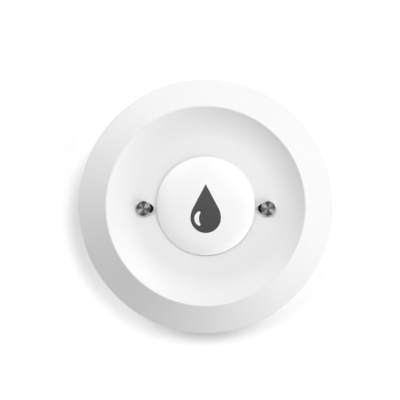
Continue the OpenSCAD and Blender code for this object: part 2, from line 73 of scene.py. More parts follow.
def hexColour(text):
    channels = [int(text[i:i + 2], 16) / 255 for i in (1, 3, 5)]
    linear = [c / 12.92 if c <= 0.04045 else ((c + 0.055) / 1.055) ** 2.4 for c in channels]
    return (*linear, 1.0)


def addNode(tree, kind, inputs=None, **settings):
    node = tree.nodes.new(kind)
    for key, value in settings.items():
        setattr(node, key, value)
    for key, value in (inputs or {}).items():
        if isinstance(value, bpy.types.NodeSocket):
            tree.links.new(value, node.inputs[key])
        else:
            node.inputs[key].default_value = value
    return node


def startMaterial(name):
    material = bpy.data.materials.new(name)
    material.use_nodes = True
    material.node_tree.nodes.clear()
    return material, material.node_tree


# moulded plastic: one even colour, faint clouds where the melt flowed, a fine grain from the tool
def mouldedPlastic(name, look):
    material, tree = startMaterial(name)
    place = addNode(tree, "ShaderNodeTexCoord").outputs["Object"]
    clouds = addNode(tree, "ShaderNodeTexNoise", {
        "Vector": place, "Scale": 1 / (look["cloudMm"] * mm), "Detail": 2.0, "Roughness": 0.5})
    tone = addNode(tree, "ShaderNodeMix", {
        "Factor": clouds.outputs["Fac"], 6: hexColour(look["colour"]), 7: hexColour(look["cloud"])},
        data_type="RGBA")
    grain = addNode(tree, "ShaderNodeTexNoise", {
        "Vector": place, "Scale": 1 / (look["grainMm"] * mm), "Detail": 3.0, "Roughness": 0.6})
    rough = addNode(tree, "ShaderNodeMapRange", {
        "Value": grain.outputs["Fac"], "From Min": 0.3, "From Max": 0.7,
        "To Min": look["rough"][0], "To Max": look["rough"][1]})
    relief = addNode(tree, "ShaderNodeBump", {
        "Height": grain.outputs["Fac"], "Strength": 1.0, "Distance": look["grainDepth"] * mm})
    skin = addNode(tree, "ShaderNodeBsdfPrincipled", {
        "Base Color": tone.outputs[2], "Roughness": rough.outputs["Result"],
        "IOR": look["ior"], "Normal": relief.outputs["Normal"]})
    addNode(tree, "ShaderNodeOutputMaterial", {"Surface": skin.outputs["BSDF"]})
    return material


# moulded rubber: matt, with a bloom of paler dust and a soft uneven skin
def mouldedRubber(name, look):
    material, tree = startMaterial(name)
    place = addNode(tree, "ShaderNodeTexCoord").outputs["Object"]
    bloom = addNode(tree, "ShaderNodeTexNoise", {
        "Vector": place, "Scale": 1 / (look["bloomMm"] * mm), "Detail": 4.0, "Roughness": 0.65})
    patches = addNode(tree, "ShaderNodeMapRange", {
        "Value": bloom.outputs["Fac"], "From Min": 0.45, "From Max": 0.75, "To Min": 0.0, "To Max": 1.0})
    tone = addNode(tree, "ShaderNodeMix", {
        "Factor": patches.outputs["Result"], 6: hexColour(look["colour"]), 7: hexColour(look["bloom"])},
        data_type="RGBA")
    skin = addNode(tree, "ShaderNodeTexNoise", {
        "Vector": place, "Scale": 1 / (look["skinMm"] * mm), "Detail": 2.0})
    relief = addNode(tree, "ShaderNodeBump", {
        "Height": skin.outputs["Fac"], "Strength": 0.6, "Distance": 0.01 * mm})
    rough = addNode(tree, "ShaderNodeMapRange", {
        "Value": skin.outputs["Fac"], "To Min": look["rough"][0], "To Max": look["rough"][1]})
    body = addNode(tree, "ShaderNodeBsdfPrincipled", {
        "Base Color": tone.outputs[2], "Roughness": rough.outputs["Result"],
        "IOR": look["ior"], "Normal": relief.outputs["Normal"]})
    addNode(tree, "ShaderNodeOutputMaterial", {"Surface": body.outputs["BSDF"]})
    return material


# plated or rolled sheet and bar: fine scratches along one way, a slightly uneven tint
def platedMetal(name, look):
    material, tree = startMaterial(name)
    place = addNode(tree, "ShaderNodeTexCoord").outputs["Object"]
    tint = addNode(tree, "ShaderNodeTexNoise", {
        "Vector": place, "Scale": 1 / (look["tintMm"] * mm), "Detail": 3.0})
    tone = addNode(tree, "ShaderNodeMix", {
        "Factor": tint.outputs["Fac"], 6: hexColour(look["colour"]), 7: hexColour(look["tint"])},
        data_type="RGBA")
    drawn = addNode(tree, "ShaderNodeMapping", {"Vector": place, "Scale": (1.0, 14.0, 14.0)})
    marks = addNode(tree, "ShaderNodeTexNoise", {
        "Vector": drawn.outputs["Vector"], "Scale": 1 / (look["scratchMm"] * mm), "Detail": 2.0})
    rough = addNode(tree, "ShaderNodeMapRange", {
        "Value": marks.outputs["Fac"], "From Min": 0.3, "From Max": 0.7,
        "To Min": look["rough"][0], "To Max": look["rough"][1]})
    relief = addNode(tree, "ShaderNodeBump", {
        "Height": marks.outputs["Fac"], "Strength": 0.5, "Distance": 0.002 * mm})
    body = addNode(tree, "ShaderNodeBsdfPrincipled", {
        "Base Color": tone.outputs[2], "Metallic": 1.0, "Roughness": rough.outputs["Result"],
        "Normal": relief.outputs["Normal"]})
    addNode(tree, "ShaderNodeOutputMaterial", {"Surface": body.outputs["BSDF"]})
    return material


# outline tools, all in millimetres as (radius, height)
def arcPoints(centre, radius, start, end, steps):
    turns = [math.radians(start + (end - start) * i / steps) for i in range(steps + 1)]
    return [(centre[0] + radius * math.cos(t), centre[1] + radius * math.sin(t)) for t in turns]


# corners are (radius, height) or (radius, height, round): the round ones become short arcs
def softened(corners, steps=6):
    outline = []
    for i, corner in enumerate(corners):
        here = Vector(corner[:2])
        if len(corner) == 2:
            outline.append(tuple(here))
            continue
        before = (Vector(corners[i - 1][:2]) - here).normalized()
        after = (Vector(corners[(i + 1) % len(corners)][:2]) - here).normalized()
        half = before.angle(after) / 2
        centre = here + (before + after).normalized() * corner[2] / math.sin(half)
        first = here + before * corner[2] / math.tan(half) - centre
        last = here + after * corner[2] / math.tan(half) - centre
        sweep = math.atan2(first.x * last.y - first.y * last.x, first.dot(last))
        for k in range(steps + 1):
            turn = sweep * k / steps
            x = first.x * math.cos(turn) - first.y * math.sin(turn)
            y = first.x * math.sin(turn) + first.y * math.cos(turn)
            outline.append((centre.x + x, centre.y + y))
    return outline


# extra rings near the ends of long straight runs, so that their shading stays flat
def withEdges(outline, gap=0.12):
    held = []
    for i, point in enumerate(outline):
        here = Vector(point)
        after = Vector(outline[(i + 1) % len(outline)])
        held.append(point)
        run = after - here
        if run.length > 6 * gap:
            held.append(tuple(here + run.normalized() * gap))
            held.append(tuple(after - run.normalized() * gap))
    return held


def newObject(name, bm):
    bmesh.ops.recalc_face_normals(bm, faces=bm.faces)
    mesh = bpy.data.meshes.new(name)
    bm.to_mesh(mesh)
    bm.free()
    piece = bpy.data.objects.new(name, mesh)
    scene.collection.objects.link(piece)
    return piece


# turns a closed outline about the Z axis through at
def lathe(name, outline, around=192, at=(0.0, 0.0)):
    bm = bmesh.new()
    rings = []
    for radius, height in outline:
        if radius < 1e-6:
            rings.append([bm.verts.new((at[0], at[1], height))])
            continue
        turns = [2 * math.pi * k / around for k in range(around)]
        rings.append([bm.verts.new((at[0] + radius * math.cos(t), at[1] + radius * math.sin(t), height))
                      for t in turns])
    for i, low in enumerate(rings):
        high = rings[(i + 1) % len(rings)]
        if len(low) == 1 and len(high) == 1:
            continue
        for k in range(around):
            n = (k + 1) % around
            corners = [low[k % len(low)], low[n % len(low)], high[n % len(high)], high[k % len(high)]]
            bm.faces.new(list(dict.fromkeys(corners)))
    return newObject(name, bm)


# upright drums, each (x, y, radius, low, high)
def drums(name, shapes, around=64):
    bm = bmesh.new()
    for x, y, radius, low, high in shapes:
        move = Matrix.Translation((x, y, (low + high) / 2))
        bmesh.ops.create_cone(bm, cap_ends=True, segments=around, radius1=radius, radius2=radius,
                              depth=high - low, matrix=move)
    return newObject(name, bm)


# upright prism over closed loops of (x, y), the second loop being a hole
def prism(name, loops, low, high):
    bm = bmesh.new()
    for loop in loops:
        points = [bm.verts.new((x, y, low)) for x, y in loop]
        for a, b in zip(points, points[1:] + points[:1]):
            bm.edges.new((a, b))
    bmesh.ops.triangle_fill(bm, edges=bm.edges[:], use_beauty=True)
    raised = bmesh.ops.extrude_face_region(bm, geom=bm.faces[:])["geom"]
    bmesh.ops.translate(bm, verts=[v for v in raised if isinstance(v, bmesh.types.BMVert)],
                        vec=(0.0, 0.0, high - low))
    return newObject(name, bm)


# parts of a ring, each (x, y, inner, outer, low, high, middle, angle)
def ringParts(name, shapes, steps=16):
    bm = bmesh.new()
    for x, y, inner, outer, low, high, middle, angle in shapes:
        rows = []
        for k in range(steps + 1):
            t = math.radians(middle + angle * (k / steps - 0.5))
            section = [(inner, low), (outer, low), (outer, high), (inner, high)]
            rows.append([bm.verts.new((x + r * math.cos(t), y + r * math.sin(t), z)) for r, z in section])
        for a, b in zip(rows, rows[1:]):
            for j in range(4):
                bm.faces.new([a[j], a[j - 1], b[j - 1], b[j]])
        bm.faces.new(rows[0])
        bm.faces.new(rows[-1])
    return newObject(name, bm)


# joins or cuts a piece with a second one, which is used up
def worked(piece, other, operation):
    step = piece.modifiers.new(operation, "BOOLEAN")
    step.operation = operation
    step.object = other
    step.solver = "EXACT"
    step.use_self = operation == "UNION"
    view = bpy.context.evaluated_depsgraph_get()
    done = bpy.data.meshes.new_from_object(piece.evaluated_get(view))
    piece.modifiers.clear()
    piece.data = done
    bpy.data.objects.remove(other)
    return piece


# to metres, smooth with crisp corners, on its body and in place of its CAD nodes
def settle(piece, material, body, replaced, crisp=32):
    mesh = piece.data
    bm = bmesh.new()
    bm.from_mesh(mesh)
    bmesh.ops.remove_doubles(bm, verts=bm.verts, dist=1e-5)
    bm.to_mesh(mesh)
    bm.free()
    mesh.transform(Matrix.Scale(mm, 4))
    for face in mesh.polygons:
        face.use_smooth = True
    mesh.set_sharp_from_angle(angle=math.radians(crisp))
    mesh.materials.clear()
    mesh.materials.append(material)
    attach(piece, body)
    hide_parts(*replaced)
    return piece


# ABS moulded in a spark-eroded tool: an even soft white; its 0.05 mm grain is drawn at 0.3 mm to show
whiteAbs = mouldedPlastic("mouldedWhiteAbs", {
    "colour": "#EDEDED", "cloud": "#EBEBEB", "cloudMm": 14.0, "rough": (0.42, 0.5),
    "grainMm": 0.3, "grainDepth": 0.002, "ior": 1.53})

# the cap is the same ABS with more white in it
capAbs = mouldedPlastic("mouldedCapAbs", {
    "colour": "#F7F7F7", "cloud": "#F5F5F5", "cloudMm": 9.0, "rough": (0.4, 0.48),
    "grainMm": 0.3, "grainDepth": 0.002, "ior": 1.53})

# the base is the same ABS from a rougher tool, a touch greyer
baseAbs = mouldedPlastic("mouldedBaseAbs", {
    "colour": "#E9E9E8", "cloud": "#E5E5E4", "cloudMm": 12.0, "rough": (0.48, 0.6),
    "grainMm": 0.35, "grainDepth": 0.004, "ior": 1.53})

# second shot of grey ABS, flush in the cap: flat dark grey with a faint grain
greyAbs = mouldedPlastic("mouldedGreyAbs", {
    "colour": "#424242", "cloud": "#3F3F3F", "cloudMm": 5.0, "rough": (0.5, 0.6),
    "grainMm": 0.3, "grainDepth": 0.001, "ior": 1.53})

# EPDM, moulded: near black and matt
blackRubber = mouldedRubber("mouldedBlackEpdm", {
    "colour": "#060606", "bloom": "#101010", "bloomMm": 2.0, "skinMm": 0.3, "rough": (0.6, 0.75),
    "ior": 1.2})

# silicone, moulded: mid grey, grips the floor
greyRubber = mouldedRubber("mouldedGreySilicone", {
    "colour": "#6A6A6A", "bloom": "#7B7B7B", "bloomMm": 3.0, "skinMm": 0.4, "rough": (0.6, 0.8),
    "ior": 1.4})


# stainless steel faced on a lathe: circular tool marks spread the light into bright and dark wedges
def turnedSteel(name, look):
    material, tree = startMaterial(name)
    place = addNode(tree, "ShaderNodeTexCoord").outputs["Object"]
    rings = addNode(tree, "ShaderNodeTexWave", {
        "Vector": place, "Scale": 1 / (20 * look["toolMarkMm"] * mm), "Distortion": 0.4, "Detail": 1.0},
        wave_type="RINGS", rings_direction="Z")
    stain = addNode(tree, "ShaderNodeTexNoise", {"Vector": place, "Scale": 1 / (look["stainMm"] * mm)})
    tone = addNode(tree, "ShaderNodeMix", {
        "Factor": stain.outputs["Fac"], 6: hexColour(look["colour"]), 7: hexColour(look["stain"])},
        data_type="RGBA")
    rough = addNode(tree, "ShaderNodeMapRange", {
        "Value": rings.outputs["Fac"], "To Min": look["rough"][0], "To Max": look["rough"][1]})
    relief = addNode(tree, "ShaderNodeBump", {
        "Height": rings.outputs["Fac"], "Strength": 0.3, "Distance": 0.002 * mm})
    around = addNode(tree, "ShaderNodeTangent", direction_type="RADIAL", axis="Z")
    body = addNode(tree, "ShaderNodeBsdfPrincipled", {
        "Base Color": tone.outputs[2], "Metallic": 1.0, "Roughness": rough.outputs["Result"],
        "Anisotropic": look["spread"], "Normal": relief.outputs["Normal"],
        "Tangent": around.outputs["Tangent"]})
    addNode(tree, "ShaderNodeOutputMaterial", {"Surface": body.outputs["BSDF"]})
    return material


# tool marks of 0.05 mm are drawn at 0.25 mm to show
probeSteel = turnedSteel("turnedStainlessSteel", {
    "colour": "#BBBBBD", "stain": "#AEAEB0", "stainMm": 1.5, "toolMarkMm": 0.25,
    "rough": (0.27, 0.32), "spread": 0.9})

# zinc-plated screws and clip, tinned shield: bright with fine drawn scratches
zincSteel = platedMetal("zincPlatedSteel", {
    "colour": "#B9BCC0", "tint": "#A9ABAD", "tintMm": 2.0, "scratchMm": 0.8, "rough": (0.28, 0.42)})
# nickel-plated can of the cell
cellCan = platedMetal("nickelPlatedCellCan", {
    "colour": "#C2C0BA", "tint": "#B3B0A8", "tintMm": 4.0, "scratchMm": 1.2, "rough": (0.22, 0.34)})
# machined brass nuts and eyelets, phosphor bronze contacts
brass = platedMetal("machinedBrass", {
    "colour": "#C9A45C", "tint": "#B48E47", "tintMm": 2.0, "scratchMm": 0.7, "rough": (0.25, 0.4)})

# glass-filled nylon of switch, holder and chips: black with a dull sheen
blackNylon = mouldedPlastic("mouldedBlackNylon", {
    "colour": "#1B1B1C", "cloud": "#222223", "cloudMm": 2.0, "rough": (0.45, 0.6),
    "grainMm": 0.25, "grainDepth": 0.004, "ior": 1.53})
# cast epoxy lens of the lamp, a pale yellow
lampResin = mouldedPlastic("castLampEpoxy", {
    "colour": "#F2E8B8", "cloud": "#EADDA0", "cloudMm": 0.8, "rough": (0.12, 0.2),
    "grainMm": 0.2, "grainDepth": 0.001, "ior": 1.55})
# sintered ceramic of the antenna and of the small parts: dense, slightly grainy
whiteCeramic = mouldedPlastic("sinteredWhiteCeramic", {
    "colour": "#E6E4DE", "cloud": "#DAD7CF", "cloudMm": 0.6, "rough": (0.3, 0.42),
    "grainMm": 0.12, "grainDepth": 0.002, "ior": 1.76})
tanCeramic = mouldedPlastic("sinteredTanCeramic", {
    "colour": "#B49673", "cloud": "#A48663", "cloudMm": 0.6, "rough": (0.35, 0.5),
    "grainMm": 0.12, "grainDepth": 0.002, "ior": 1.76})


# glass laminate under green solder mask: a glossy green over 0.5 mm weave
def laminateBoard(name, look):
    material, tree = startMaterial(name)
    place = addNode(tree, "ShaderNodeTexCoord").outputs["Object"]
    along = addNode(tree, "ShaderNodeTexWave", {
        "Vector": place, "Scale": 1 / (20 * look["threadMm"] * mm), "Distortion": 0.5},
        bands_direction="X")
    across = addNode(tree, "ShaderNodeTexWave", {
        "Vector": place, "Scale": 1 / (20 * look["threadMm"] * mm), "Distortion": 0.5},
        bands_direction="Y")
    weave = addNode(tree, "ShaderNodeMath", {0: along.outputs["Fac"], 1: across.outputs["Fac"]},
                    operation="MULTIPLY")
    tone = addNode(tree, "ShaderNodeMix", {
        "Factor": weave.outputs["Value"], 6: hexColour(look["colour"]), 7: hexColour(look["thread"])},
        data_type="RGBA")
    relief = addNode(tree, "ShaderNodeBump", {
        "Height": weave.outputs["Value"], "Strength": 0.4, "Distance": 0.01 * mm})
    body = addNode(tree, "ShaderNodeBsdfPrincipled", {
        "Base Color": tone.outputs[2], "Roughness": 0.3, "IOR": 1.5, "Normal": relief.outputs["Normal"]})
    addNode(tree, "ShaderNodeOutputMaterial", {"Surface": body.outputs["BSDF"]})
    return material


greenBoard = laminateBoard("glassLaminateBoard", {
    "colour": "#12563A", "thread": "#1C6A48", "threadMm": 0.5})
print("materials made")


# drip cover: side, bevel, rim and dish in one turned outline, with screw bosses inside
cover = {
    "caseR": 32.5, "splitZ": 5.2, "seam": 0.25, "shoulderZ": 8.1, "shoulderRound": 1.2,
    "rimR": 23.88, "rimZ": 16.95, "rimRound": 0.35, "troughR": 16.58, "troughZ": 14.5, "dishT": 1.8,
    "wall": 2.0, "wellR": 11.45, "wellOuterR": 12.55, "wellEdge": 0.3, "wellTop": 12.05, "wellZ": 10.65,
    "guideR": 3.2, "guideBoreR": 2.05, "guideTop": 13.5,
    "screwRing": 26.6, "bossR": 2.8, "bossTop": 10.68, "boreR": 1.15, "boreTop": 9.58,
    "probeBoreR": 1.05, "cutLow": 4.0, "cutHigh": 20.0,
    "seamRound": 0.06, "edgeRound": 0.1, "innerRound": 0.2, "rimSpare": 1.05,
}
screwSpots = arcPoints((0.0, 0.0), cover["screwRing"], 45, 315, 3)
probeSpots = {}
for side in ("left", "right"):
    low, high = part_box(side + "_probe")
    probeSpots[side] = ((low.x + high.x) / 2 / mm, (low.y + high.y) / 2 / mm)

dishRun = cover["rimR"] - cover["troughR"]
dishDepth = cover["rimZ"] - cover["troughZ"]
rimTilt = 2 * math.degrees(math.atan(dishDepth / dishRun))
dishCurve = dishRun / math.sin(math.radians(rimTilt))
dishCentre = (cover["troughR"], cover["troughZ"] + dishCurve)
bevelTilt = math.atan2(cover["rimZ"] - cover["shoulderZ"], cover["caseR"] - cover["rimR"])
rimCut = math.degrees(cover["rimRound"] * math.tan((bevelTilt + math.radians(rimTilt)) / 2) / dishCurve)
dishArc = arcPoints(dishCentre, dishCurve, rimTilt - cover["rimSpare"] * rimCut - 90, -90, 48)
# inside, the bevel's lower face meets the underside of the dish
bevelNormal = Vector((math.sin(bevelTilt), math.cos(bevelTilt)))
bevelInner = bevelNormal.dot((cover["rimR"], cover["rimZ"])) - cover["wall"]
underCurve = dishCurve + cover["dishT"]
underTilt = math.degrees(math.acos((bevelNormal.dot(dishCentre) - bevelInner) / underCurve) - bevelTilt)
underArc = arcPoints(dishCentre, underCurve, -90, underTilt - 90, 16)
innerR = cover["caseR"] - cover["wall"]
innerShoulderZ = (bevelInner - bevelNormal.x * innerR) / bevelNormal.y
coverOutline = softened([
    (cover["caseR"] - cover["seam"], cover["splitZ"], cover["seamRound"]),
    (cover["caseR"], cover["splitZ"] + cover["seam"], cover["edgeRound"]),
    (cover["caseR"], cover["shoulderZ"], cover["shoulderRound"]),
    (cover["rimR"], cover["rimZ"], cover["rimRound"]),
    *dishArc,
    (cover["wellR"], cover["troughZ"], cover["wellEdge"]),
    (cover["wellR"], cover["wellTop"], cover["innerRound"]),
    (cover["guideR"], cover["wellTop"], cover["innerRound"]),
    (cover["guideR"], cover["guideTop"], cover["edgeRound"]),
    (cover["guideBoreR"], cover["guideTop"], cover["edgeRound"]),
    (cover["guideBoreR"], cover["wellZ"]), (cover["wellOuterR"], cover["wellZ"], cover["innerRound"]),
    (cover["wellOuterR"], cover["troughZ"] - cover["dishT"]),
    *underArc,
    (innerR, innerShoulderZ), (innerR, cover["splitZ"]),
], steps=8)
dripCover = lathe("dripCover", withEdges(coverOutline), around=256)
bosses = [(x, y, cover["bossR"], cover["splitZ"], cover["bossTop"]) for x, y in screwSpots]
worked(dripCover, drums("bosses", bosses), "UNION")
bores = [(x, y, cover["boreR"], cover["cutLow"], cover["boreTop"]) for x, y in screwSpots]
bores += [(x, y, cover["probeBoreR"], cover["cutLow"], cover["cutHigh"]) for x, y in probeSpots.values()]
worked(dripCover, drums("bores", bores), "DIFFERENCE")
settle(dripCover, whiteAbs, "case", ["top_cover"])
print("drip cover made:", len(dripCover.data.polygons), "faces")


# button cap: shallow crown, tighter edge, skirt and stem, with the droplet's pocket
cap = {
    "radius": 11.95, "low": 14.8, "edge": 0.1, "crownR": 62.0, "edgeR": 10.0, "edgeRun": 3.5, "shell": 1.5,
    "skirtR": 11.25, "skirtIn": 10.25, "skirtZ": 13.0, "stemR": 2.0, "stemZ": 9.9, "markDepth": 0.4,
    "grooveR": 1.4, "clipLow": 10.2, "clipHigh": 10.6, "sealLow": 11.84, "sealHigh": 12.56,
    "stemRound": 0.15, "stemFlare": 0.2, "skirtRound": 0.2, "brimRound": 0.1,
    "lipLow": 0.03, "lipHigh": 0.05,
    "cutHigh": 0.5,  # above the crown
}
crownReach = cap["radius"] - cap["edgeRun"]
crownTilt = math.degrees(math.asin(crownReach / cap["crownR"]))
edgeCentreR = crownReach - cap["edgeR"] * math.sin(math.radians(crownTilt))
edgeTilt = math.degrees(math.asin((cap["radius"] - edgeCentreR) / cap["edgeR"]))
crownRise = cap["crownR"] * (1 - math.cos(math.radians(crownTilt)))
edgeRise = cap["edgeR"] * (math.cos(math.radians(crownTilt)) - math.cos(math.radians(edgeTilt)))
capTop = cap["low"] + cap["edge"] + crownRise + edgeRise
crownCentre = (0.0, capTop - cap["crownR"])
edgeCentreZ = crownCentre[1] + (cap["crownR"] - cap["edgeR"]) * math.cos(math.radians(crownTilt))
crownArc = arcPoints(crownCentre, cap["crownR"], 90 - crownTilt, 90, 36)
edgeArc = arcPoints((edgeCentreR, edgeCentreZ), cap["edgeR"], 90 - edgeTilt, 90 - crownTilt, 20)
# the ceiling follows the dome one wall below it, from the stem to the skirt
underCrown, underEdge = cap["crownR"] - cap["shell"], cap["edgeR"] - cap["shell"]
stemTilt = math.degrees(math.asin((cap["stemR"] + cap["stemFlare"]) / underCrown))
skirtTilt = math.degrees(math.asin((cap["skirtIn"] - edgeCentreR) / underEdge))
ceilingArc = arcPoints(crownCentre, underCrown, 90 - stemTilt, 90 - crownTilt, 12)
ceilingArc += arcPoints((edgeCentreR, edgeCentreZ), underEdge, 90 - crownTilt, 90 - skirtTilt, 8)[1:]
capOutline = softened([
    (0.0, cap["stemZ"]), (cap["stemR"], cap["stemZ"], cap["stemRound"]),
    (cap["stemR"], cap["clipLow"]), (cap["grooveR"], cap["clipLow"]),
    (cap["grooveR"], cap["clipHigh"]), (cap["stemR"], cap["clipHigh"]),
    (cap["stemR"], cap["sealLow"]), (cap["grooveR"], cap["sealLow"]),
    (cap["grooveR"], cap["sealHigh"]), (cap["stemR"], cap["sealHigh"]),
    (cap["stemR"], capTop - cap["shell"] - cap["stemFlare"]),
    *ceilingArc,
    (cap["skirtIn"], cap["skirtZ"], cap["skirtRound"]),
    (cap["skirtR"], cap["skirtZ"], cap["skirtRound"]), (cap["skirtR"], cap["low"], cap["brimRound"]),
    (cap["radius"], cap["low"], cap["lipLow"]), (cap["radius"], cap["low"] + cap["edge"], cap["lipHigh"]),
    *edgeArc[1:-1], *crownArc[:-1], (0.0, capTop),
])
buttonCap = lathe("buttonCap", withEdges(capOutline), around=256)

# droplet: round foot, straight tapering sides, and a crescent of the cap's white left in it
droplet = {
    "width": 7.3, "height": 11.75, "tipAngle": 28.0, "front": 0.6,
    # the crescent, in radii of the foot
    "shineX": -0.234, "shineY": -0.045, "shineR": 0.517, "cutX": 0.348, "cutR": 0.792, "shineTip": 0.076,
}
dropR = droplet["width"] / 2
dropReach = droplet["height"] - dropR
tip = math.radians(droplet["tipAngle"])
dropSideR = (dropReach * math.sin(tip) - dropR * math.cos(tip)) / (1 - math.cos(tip))
dropY = -droplet["front"] - droplet["height"] / 2 + dropR
rightSide = arcPoints((0.0, 0.0), dropR, -90, 0, 32) + arcPoints((dropR - dropSideR, 0.0), dropSideR, 0,
                                                               droplet["tipAngle"], 24)[1:]
dropOutline = rightSide + [(0.0, dropReach)] + [(-x, y) for x, y in reversed(rightSide)][:-1]
# the crescent is one circle less a larger one, with rounded tips
shineR = droplet["shineR"] * dropR
cutR = droplet["cutR"] * dropR
tipR = droplet["shineTip"] * dropR
shineAt = (droplet["shineX"] * dropR, droplet["shineY"] * dropR)
cutAt = (droplet["cutX"] * dropR, shineAt[1])
apart = cutAt[0] - shineAt[0]
tipX = (apart ** 2 + (shineR - tipR) ** 2 - (cutR + tipR) ** 2) / (2 * apart)
tipY = math.sqrt((shineR - tipR) ** 2 - tipX ** 2)
outerTurn = math.degrees(math.atan2(tipY, tipX))
innerTurn = math.degrees(math.atan2(tipY, apart - tipX))
upperTip = (shineAt[0] + tipX, shineAt[1] + tipY)
lowerTip = (shineAt[0] + tipX, shineAt[1] - tipY)
shineOutline = arcPoints(upperTip, tipR, -innerTurn, outerTurn, 8)
shineOutline += arcPoints(shineAt, shineR, outerTurn, 360 - outerTurn, 40)[1:]
shineOutline += arcPoints(lowerTip, tipR, -outerTurn, innerTurn, 8)[1:]
shineOutline += arcPoints(cutAt, cutR, 180 + innerTurn, 180 - innerTurn, 24)[1:-1]
dropLoops = [[(x, dropY + y) for x, y in loop] for loop in (dropOutline, shineOutline)]

pocketFloor = arcPoints(crownCentre, cap["crownR"] - cap["markDepth"], 90, 90 - crownTilt, 36)
pocketFloor[0] = (0.0, capTop - cap["markDepth"])
cutTop = capTop + cap["cutHigh"]
pocketTop = cutTop + cap["cutHigh"]
aboveFloor = lathe("aboveFloor", [*pocketFloor, (crownReach, pocketTop), (0.0, pocketTop)], around=256)
pocket = worked(prism("pocket", dropLoops, cap["low"], cutTop), aboveFloor, "INTERSECT")
worked(buttonCap, pocket, "DIFFERENCE")
settle(buttonCap, capAbs, "button", ["button_cap"])
lens = lathe("lens", [*pocketFloor, *crownArc[:-1], (0.0, capTop)], around=256)
dropletInlay = worked(prism("dropletInlay", dropLoops, cap["low"], cutTop), lens, "INTERSECT")
settle(dropletInlay, greyAbs, "button", ["droplet_mark"])
print("button cap and droplet made:", len(buttonCap.data.polygons), "faces")


# probes: turned studs, each on a rubber bush whose cheek stands beside the head towards the button; the
# black cheek is painted shade, a dark piece put where the side of a taller stud would show dark
probe = {
    "headR": 1.85, "shankR": 1.0, "tipR": 0.6, "tipZ": 0.4, "tipRise": 0.4, "headZ": 14.8, "topZ": 15.3,
    "chamfer": 0.1, "underRound": 0.1, "shankRound": 0.15, "edgeRound": 0.04,
}
# the cheek sizes place the painted shade beside each head
bush = {
    "radius": 1.4, "boreR": 1.05, "low": 14.5, "cheekR": 1.1, "cheekOut": 1.3, "cheekLow": 14.6,
    "cheekTop": 15.4, "gap": 0.05, "spare": 0.3, "cutLow": 14.0, "cutHigh": 18.0,
}
for side, sign in (("left", 1), ("right", -1)):
    x, y = probeSpots[side]
    stud = lathe(side + "Probe", withEdges(softened([
        (0.0, probe["tipZ"]), (probe["tipR"], probe["tipZ"], probe["underRound"]),
        (probe["shankR"], probe["tipZ"] + probe["tipRise"], probe["shankRound"]),
        (probe["shankR"], probe["headZ"]), (probe["headR"], probe["headZ"], probe["underRound"]),
        (probe["headR"], probe["topZ"] - probe["chamfer"], probe["edgeRound"]),
        (probe["headR"] - probe["chamfer"], probe["topZ"], probe["edgeRound"]), (0.0, probe["topZ"]),
    ])), around=96)
    stud.location = (x * mm, y * mm, 0.0)
    settle(stud, probeSteel, "case", [side + "_probe"])
    ring = (0.0, 0.0, bush["radius"], bush["low"], probe["headZ"] + bush["spare"])
    bushAndShadeCheek = drums(side + "Bush", [ring])
    # painted shade: the black cheek beside the head stands for the dark side of the stud
    shadeLug = (sign * bush["cheekOut"], 0.0, bush["cheekR"], bush["cheekLow"], bush["cheekTop"])
    cheek = drums("cheek", [shadeLug], around=96)
    worked(bushAndShadeCheek, cheek, "UNION")
    shank = (0.0, 0.0, bush["boreR"], bush["cutLow"], bush["cutHigh"])
    worked(bushAndShadeCheek, drums("shank", [shank]), "DIFFERENCE")
    head = (0.0, 0.0, probe["headR"] + bush["gap"], probe["headZ"], bush["cutHigh"])
    worked(bushAndShadeCheek, drums("head", [head], around=96), "DIFFERENCE")
    bushAndShadeCheek.location = (x * mm, y * mm, 0.0)
    settle(bushAndShadeCheek, blackRubber, "case", [side + "_bush"])
print("probes and bushes made")


# base tray: rounded bottom edge, gasket groove, battery collar with catches, screw seats and board posts
base = {
    "boreR": 12.0, "low": 0.8, "bottomRound": 1.5, "top": 5.2, "seam": 0.25,
    "gasketOut": 31.9, "gasketIn": 31.0, "gasketDeep": 0.9, "innerR": 30.0, "floorZ": 2.8,
    "collarR": 12.7, "collarTop": 4.55, "seatR": 3.0, "headR": 2.3, "headTop": 2.6,
    "postR": 2.2, "postRing": 20.5, "postTop": 6.8, "postBoreR": 0.85, "postBoreLow": 4.4,
    "footR": 3.55, "footRing": 27.0, "footTop": 1.4, "grommetR": 1.85,
    "catchIn": 11.2, "catchOut": 12.3, "catchLow": 2.9, "catchHigh": 3.7, "catchAngle": 50.0,
    "stopLow": 3.3, "stopHigh": 4.45, "stopTurn": 23.5, "stopAngle": 2.0, "catchTurns": (0, 120, 240),
    "boreRound": 0.15, "uprightLow": 1.9, "postCut": 8.0, "grommetCut": 4.0, "screwCut": (1.0, 7.0),
}
baseTray = lathe("baseTray", withEdges(softened([
    (base["boreR"], base["low"], base["boreRound"]), (cover["caseR"], base["low"], base["bottomRound"]),
    (cover["caseR"], base["top"] - base["seam"], cover["edgeRound"]),
    (cover["caseR"] - base["seam"], base["top"], cover["seamRound"]),
    (base["gasketOut"], base["top"]), (base["gasketOut"], base["top"] - base["gasketDeep"]),
    (base["gasketIn"], base["top"] - base["gasketDeep"]), (base["gasketIn"], base["top"]),
    (base["innerR"], base["top"]), (base["innerR"], base["floorZ"]),
    (base["collarR"], base["floorZ"]), (base["collarR"], base["collarTop"]),
    (base["boreR"], base["collarTop"]),
], steps=8)), around=256)
postSpots = arcPoints((0.0, 0.0), base["postRing"], 45, 315, 3)
uprights = [(x, y, base["seatR"], base["uprightLow"], base["top"]) for x, y in screwSpots]
uprights += [(x, y, base["postR"], base["uprightLow"], base["postTop"]) for x, y in postSpots]
worked(baseTray, drums("uprights", uprights), "UNION")
catchRing = (0.0, 0.0, base["catchIn"], base["catchOut"])
catches = [(*catchRing, base["catchLow"], base["catchHigh"], a, base["catchAngle"])
           for a in base["catchTurns"]]
worked(baseTray, ringParts("catches", catches, steps=24), "UNION")
